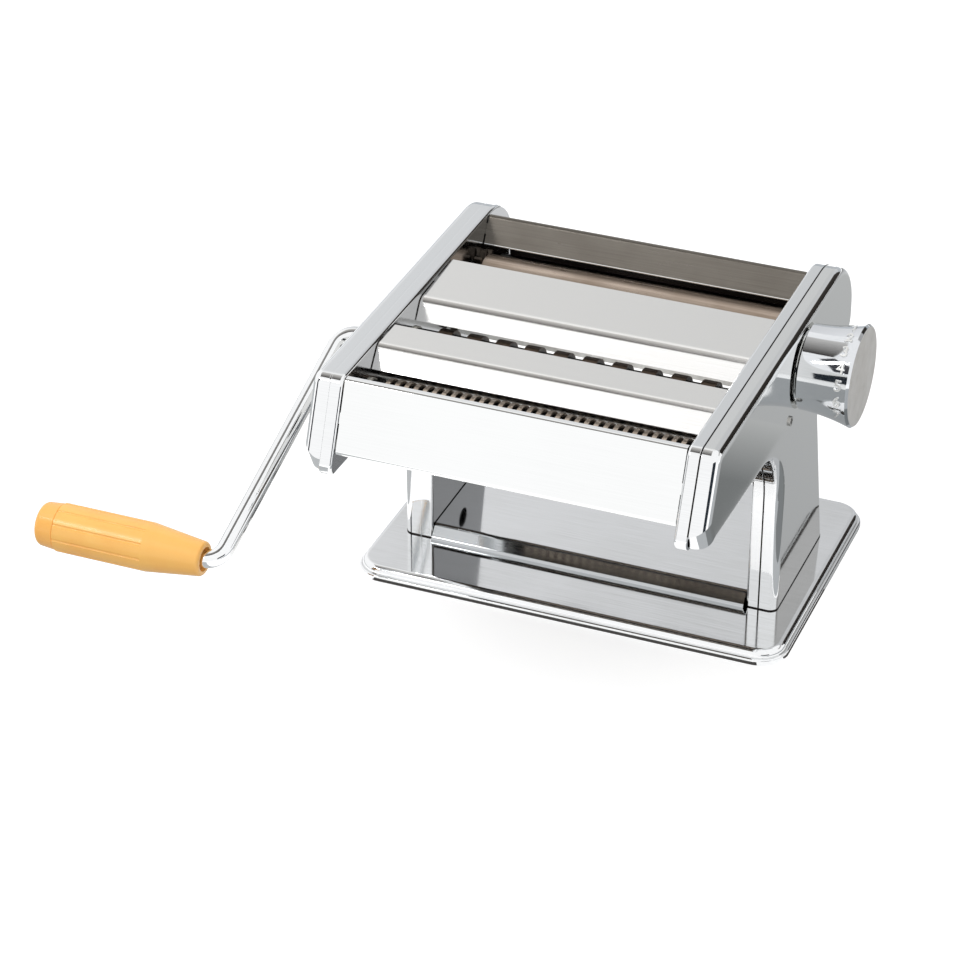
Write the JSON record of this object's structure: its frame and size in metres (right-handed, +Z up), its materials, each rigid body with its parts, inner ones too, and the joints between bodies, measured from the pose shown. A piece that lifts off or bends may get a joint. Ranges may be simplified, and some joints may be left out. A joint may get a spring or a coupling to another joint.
{
  "type": "pasta roller machine",
  "caption": "Hand-cranked pasta machine: smooth rollers with a thickness knob, wide and narrow noodle cutters, polished steel sides on a base plate, crank with an orange grip.",
  "frame": {"origin": "centre of the base on the plane that the feet stand on", "axes": "+X along the rollers towards the knob, +Y to the rear where dough goes in, +Z up"},
  "size_m": [0.3338, 0.2438, 0.1468],
  "materials": {
    "polished_steel": "polished chrome-plated sheet steel",
    "brushed_steel": "brushed, satin",
    "knob_chrome": "bright chrome plating",
    "roller_aluminium": "satin anodised, warm grey",
    "cutter_aluminium": "satin anodised, dark warm grey",
    "gear_steel": "machined steel",
    "plain_steel": "plain zinc-plated steel",
    "bush_nylon": "natural nylon",
    "foot_rubber": "matte black rubber",
    "grip_plastic": "smooth yellow-orange plastic"
  },
  "bodies": {
    "frame": {"base_plate": "polished_steel", "rubber_feet": "foot_rubber", "bridge_plate": "polished_steel", "base_screws": "plain_steel", "left_inner_frame": "polished_steel", "right_inner_frame": "polished_steel", "left_outer_cover": "polished_steel", "right_outer_cover": "polished_steel", "cover_posts": "plain_steel", "cover_screws": "plain_steel", "tie_rod_screws": "plain_steel", "index_ring": "plain_steel", "drive_roller_bushes": "bush_nylon", "adjuster_bushes": "bush_nylon", "wide_cutter_bushes": "bush_nylon", "narrow_cutter_bushes": "bush_nylon", "rear_tie_rod": "plain_steel", "middle_tie_rod": "plain_steel", "front_tie_rod": "plain_steel", "front_panel": "polished_steel", "roller_cover": "brushed_steel", "cutter_cover": "brushed_steel", "rear_panel": "brushed_steel", "drive_scraper": "plain_steel", "adjustable_scraper": "plain_steel", "wide_rear_comb": "plain_steel", "wide_front_comb": "plain_steel", "narrow_rear_comb": "plain_steel", "narrow_front_comb": "plain_steel"},
    "drive_roller_body": {"drive_roller": "roller_aluminium", "drive_roller_gear": "gear_steel"},
    "adjuster": {"eccentric_shaft": "plain_steel", "knob_spring": "plain_steel", "knob_washer": "plain_steel", "knob_screw": "plain_steel"},
    "knob": {"knob_body": "knob_chrome", "knob_end_disc": "brushed_steel", "detent_pin": "plain_steel"},
    "floating_bushes": {"left_floating_bush": "bush_nylon", "right_floating_bush": "bush_nylon"},
    "adjustable_roller_body": {"adjustable_roller": "roller_aluminium", "adjustable_roller_gear": "gear_steel"},
    "wide_rear": {"wide_rear_cutter": "cutter_aluminium", "wide_rear_gear": "gear_steel"},
    "wide_front": {"wide_front_cutter": "cutter_aluminium", "wide_front_gear": "gear_steel"},
    "narrow_rear": {"narrow_rear_cutter": "cutter_aluminium", "narrow_rear_gear": "gear_steel"},
    "narrow_front": {"narrow_front_cutter": "cutter_aluminium", "narrow_front_gear": "gear_steel"},
    "crank": {"crank_rod": "polished_steel", "crank_pin": "plain_steel", "grip_retainer": "plain_steel"},
    "grip": {"grip_body": "grip_plastic", "grip_end_cap": "grip_plastic"}
  },
  "joints": [
    {"name": "drive_spin", "type": "hinge", "parent": "frame", "child": "drive_roller_body", "pos_m": [0, 0.01938, 0.11852], "axis": [1, 0, 0], "continuous": true},
    {"name": "knob_turn", "type": "hinge", "parent": "frame", "child": "adjuster", "pos_m": [0, -0.009, 0.1232], "axis": [1, 0, 0], "range_deg": [0, 120]},
    {"name": "knob_pull", "type": "slide", "parent": "adjuster", "child": "knob", "axis": [1, 0, 0], "range_m": [0, 0.004], "stiffness_N_per_m": 1500, "springref_m": -0.004},
    {"name": "bush_turn", "type": "hinge", "parent": "adjuster", "child": "floating_bushes", "pos_m": [0, -0.00763, 0.12368], "axis": [1, 0, 0], "range_deg": [-120, 0]},
    {"name": "adjustable_spin", "type": "hinge", "parent": "floating_bushes", "child": "adjustable_roller_body", "pos_m": [0, -0.00763, 0.12368], "axis": [1, 0, 0], "continuous": true},
    {"name": "wide_spin", "type": "hinge", "parent": "frame", "child": "wide_rear", "pos_m": [0, -0.05605, 0.122], "axis": [1, 0, 0], "continuous": true},
    {"name": "wide_front_spin", "type": "hinge", "parent": "frame", "child": "wide_front", "pos_m": [0, -0.07595, 0.122], "axis": [1, 0, 0], "continuous": true},
    {"name": "narrow_spin", "type": "hinge", "parent": "frame", "child": "narrow_rear", "pos_m": [0, -0.10655, 0.122], "axis": [1, 0, 0], "continuous": true},
    {"name": "narrow_front_spin", "type": "hinge", "parent": "frame", "child": "narrow_front", "pos_m": [0, -0.12645, 0.122], "axis": [1, 0, 0], "continuous": true},
    {"name": "crank_pull", "type": "slide", "parent": "wide_rear", "child": "crank", "axis": [-1, 0, 0], "range_m": [0, 0.02]},
    {"name": "grip_spin", "type": "hinge", "parent": "crank", "child": "grip", "pos_m": [0, -0.16158, 0.05708], "axis": [1, 0, 0], "continuous": true}
  ],
  "couplings": [
    {"joint": "bush_turn", "follows": "knob_turn", "ratio": -1},
    {"joint": "adjustable_spin", "follows": "drive_spin", "ratio": -1},
    {"joint": "wide_front_spin", "follows": "wide_spin", "ratio": -1},
    {"joint": "narrow_front_spin", "follows": "narrow_spin", "ratio": -1}
  ]
}
